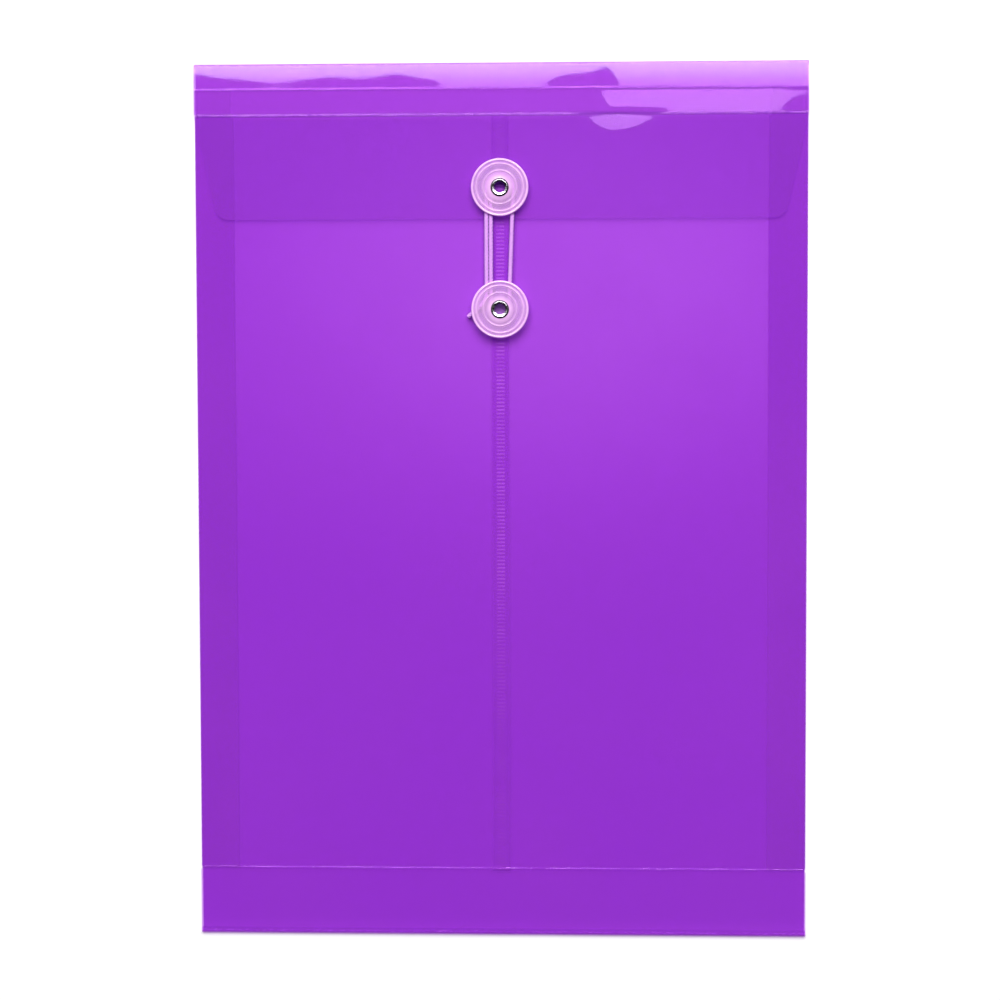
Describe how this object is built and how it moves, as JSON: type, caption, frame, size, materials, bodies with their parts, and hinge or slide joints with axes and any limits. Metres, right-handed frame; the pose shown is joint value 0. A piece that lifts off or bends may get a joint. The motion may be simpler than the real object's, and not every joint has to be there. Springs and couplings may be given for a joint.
{
  "type": "string tie envelope",
  "caption": "Translucent plastic document envelope with gusseted sides, a welded centre seam and a scored flap tied down by a string wound round clear buttons on eyelets.",
  "frame": {"origin": "centre of the closed envelope's outline, on the underside of its back panel", "axes": "+X to the right across the front, +Y up the envelope to the top fold, +Z out of the front, with the envelope lying on its back"},
  "size_m": [0.24, 0.344, 0.0061],
  "materials": {
    "film": "smooth translucent purple polypropylene film",
    "weld": "embossed weld bars in the same film",
    "clear_plastic": "clear moulded plastic with turned rings",
    "eyelet_metal": "bright nickel plate",
    "string": "twisted white cotton"
  },
  "bodies": {
    "back": {"back_panel": "film"},
    "bottom": {"bottom_roll": "film", "bottom_wall": "film"},
    "front": {"front_left_panel": "film", "front_right_panel": "film", "upper_seam": "weld", "lower_seam": "weld", "lower_eyelet": "eyelet_metal"},
    "left_rear": {"left_gusset_rear": "film"},
    "left_front": {"left_gusset_front": "film"},
    "right_rear": {"right_gusset_rear": "film"},
    "right_front": {"right_gusset_front": "film"},
    "spine": {"flap_roll": "film", "flap_spine": "film"},
    "strip": {"flap_strip": "film"},
    "flap": {"flap_panel": "film", "upper_eyelet": "eyelet_metal", "tie_string": "string", "string_knot": "string"},
    "upper_button": {"upper_button": "clear_plastic"},
    "lower_button": {"lower_button": "clear_plastic"}
  },
  "joints": [
    {"name": "bottom_fold", "type": "hinge", "parent": "back", "child": "bottom", "pos_m": [0, -0.17133, 0.00097], "axis": [1, 0, 0], "range_deg": [0, 38], "deforming": ["tie_string"]},
    {"name": "front_crease", "type": "hinge", "parent": "bottom", "child": "front", "pos_m": [0, -0.1455, 0.00153], "axis": [-1, 0, 0], "range_deg": [0, 38], "deforming": ["tie_string"]},
    {"name": "left_side_fold", "type": "hinge", "parent": "back", "child": "left_rear", "pos_m": [-0.11975, 0, 0.00055], "axis": [0, -1, 0], "range_deg": [0, 32]},
    {"name": "left_inner_fold", "type": "hinge", "parent": "left_rear", "child": "left_front", "pos_m": [-0.10485, 0, 0.0011], "axis": [0, 1, 0], "range_deg": [0, 64]},
    {"name": "right_side_fold", "type": "hinge", "parent": "back", "child": "right_rear", "pos_m": [0.11975, 0, 0.00055], "axis": [0, 1, 0], "range_deg": [0, 32]},
    {"name": "right_inner_fold", "type": "hinge", "parent": "right_rear", "child": "right_front", "pos_m": [0.10485, 0, 0.0011], "axis": [0, -1, 0], "range_deg": [0, 64]},
    {"name": "top_fold", "type": "hinge", "parent": "back", "child": "spine", "pos_m": [0, 0.17075, 0.00155], "axis": [-1, 0, 0], "range_deg": [0, 61], "deforming": ["tie_string"]},
    {"name": "flap_first_score", "type": "hinge", "parent": "spine", "child": "strip", "pos_m": [0, 0.1617, 0.0028], "axis": [-1, 0, 0], "range_deg": [0, 170], "deforming": ["tie_string"]},
    {"name": "flap_second_score", "type": "hinge", "parent": "strip", "child": "flap", "pos_m": [0, 0.1515, 0.00267], "axis": [1, 0, 0], "range_deg": [0, 61], "deforming": ["tie_string"]},
    {"name": "upper_button_turn", "type": "hinge", "parent": "flap", "child": "upper_button", "pos_m": [0, 0.1233, 0.0047], "axis": [0, 0, 1], "continuous": true},
    {"name": "lower_button_turn", "type": "hinge", "parent": "front", "child": "lower_button", "pos_m": [0, 0.0759, 0.0047], "axis": [0, 0, 1], "continuous": true}
  ],
  "couplings": [
    {"joint": "front_crease", "follows": "bottom_fold", "ratio": 1},
    {"joint": "left_side_fold", "follows": "bottom_fold", "ratio": 0.83},
    {"joint": "left_inner_fold", "follows": "bottom_fold", "ratio": 1.66},
    {"joint": "right_side_fold", "follows": "bottom_fold", "ratio": 0.83},
    {"joint": "right_inner_fold", "follows": "bottom_fold", "ratio": 1.66},
    {"joint": "top_fold", "follows": "bottom_fold", "ratio": 1.6},
    {"joint": "flap_second_score", "follows": "bottom_fold", "ratio": 1.6}
  ]
}
